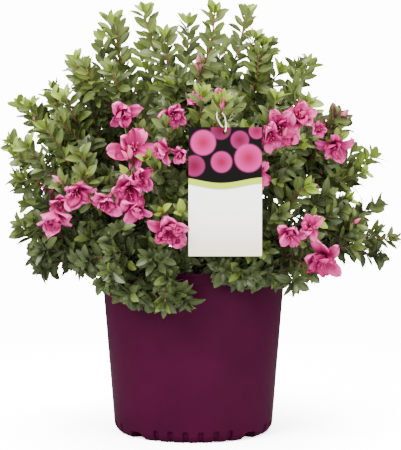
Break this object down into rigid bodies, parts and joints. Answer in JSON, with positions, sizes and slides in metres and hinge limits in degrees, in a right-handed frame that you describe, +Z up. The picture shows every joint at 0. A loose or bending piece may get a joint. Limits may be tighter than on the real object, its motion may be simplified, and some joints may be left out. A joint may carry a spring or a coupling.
{
  "type": "potted azalea shrub",
  "caption": "Flowering azalea shrub with upright leafy shoots and pink ruffled blooms, in a plain round tapered nursery pot, with a hang tag on a loop tie.",
  "frame": {"origin": "middle of the pot's flat underside, on the ground", "axes": "+Z up along the pot's axis, front of the plant (with the tag) towards -Y, +X to the right seen from the front"},
  "size_m": [0.6115, 0.5013, 0.6651],
  "materials": {
    "pot": "dark maroon-purple moulded plastic, satin",
    "potting_mix": "dark moist bark mix, matte",
    "bark": "grey-brown young bark",
    "foliage": "green leaves with a soft sheen, pink petals",
    "tag": "printed plastic card, satin",
    "tie": "thin whitish plastic loop"
  },
  "bodies": {
    "root": {"pot": "pot", "potting_mix": "potting_mix", "trunk": "bark", "bough_low_1": "bark", "bough_low_2": "bark", "bough_low_3": "bark", "bough_low_4": "bark", "bough_low_5": "bark", "bough_low_6": "bark", "bough_middle_1": "bark", "bough_middle_2": "bark", "bough_middle_3": "bark", "bough_middle_4": "bark", "bough_middle_5": "bark", "bough_middle_6": "bark", "bough_middle_7": "bark", "bough_top_1": "bark", "bough_top_2": "bark", "bough_top_3": "bark", "bough_top_4": "bark", "bough_top_5": "bark", "foliage_low_1": "foliage", "foliage_low_2": "foliage", "foliage_low_3": "foliage", "foliage_low_4": "foliage", "foliage_low_5": "foliage", "foliage_low_6": "foliage", "foliage_low_7": "foliage", "foliage_low_8": "foliage", "foliage_low_9": "foliage", "foliage_low_10": "foliage", "foliage_low_11": "foliage", "foliage_low_12": "foliage", "foliage_middle_1": "foliage", "foliage_middle_2": "foliage", "foliage_middle_3": "foliage", "foliage_middle_4": "foliage", "foliage_middle_5": "foliage", "foliage_middle_6": "foliage", "foliage_middle_7": "foliage", "foliage_middle_8": "foliage", "foliage_middle_9": "foliage", "foliage_middle_10": "foliage", "foliage_middle_11": "foliage", "foliage_middle_12": "foliage", "foliage_middle_13": "foliage", "foliage_middle_14": "foliage", "foliage_top_1": "foliage", "foliage_top_2": "foliage", "foliage_top_3": "foliage", "foliage_top_4": "foliage", "foliage_top_5": "foliage", "foliage_top_6": "foliage", "foliage_top_7": "foliage", "foliage_top_8": "foliage", "foliage_top_9": "foliage", "foliage_top_10": "foliage", "tag": "tag", "tie": "tie"}
  },
  "joints": []
}
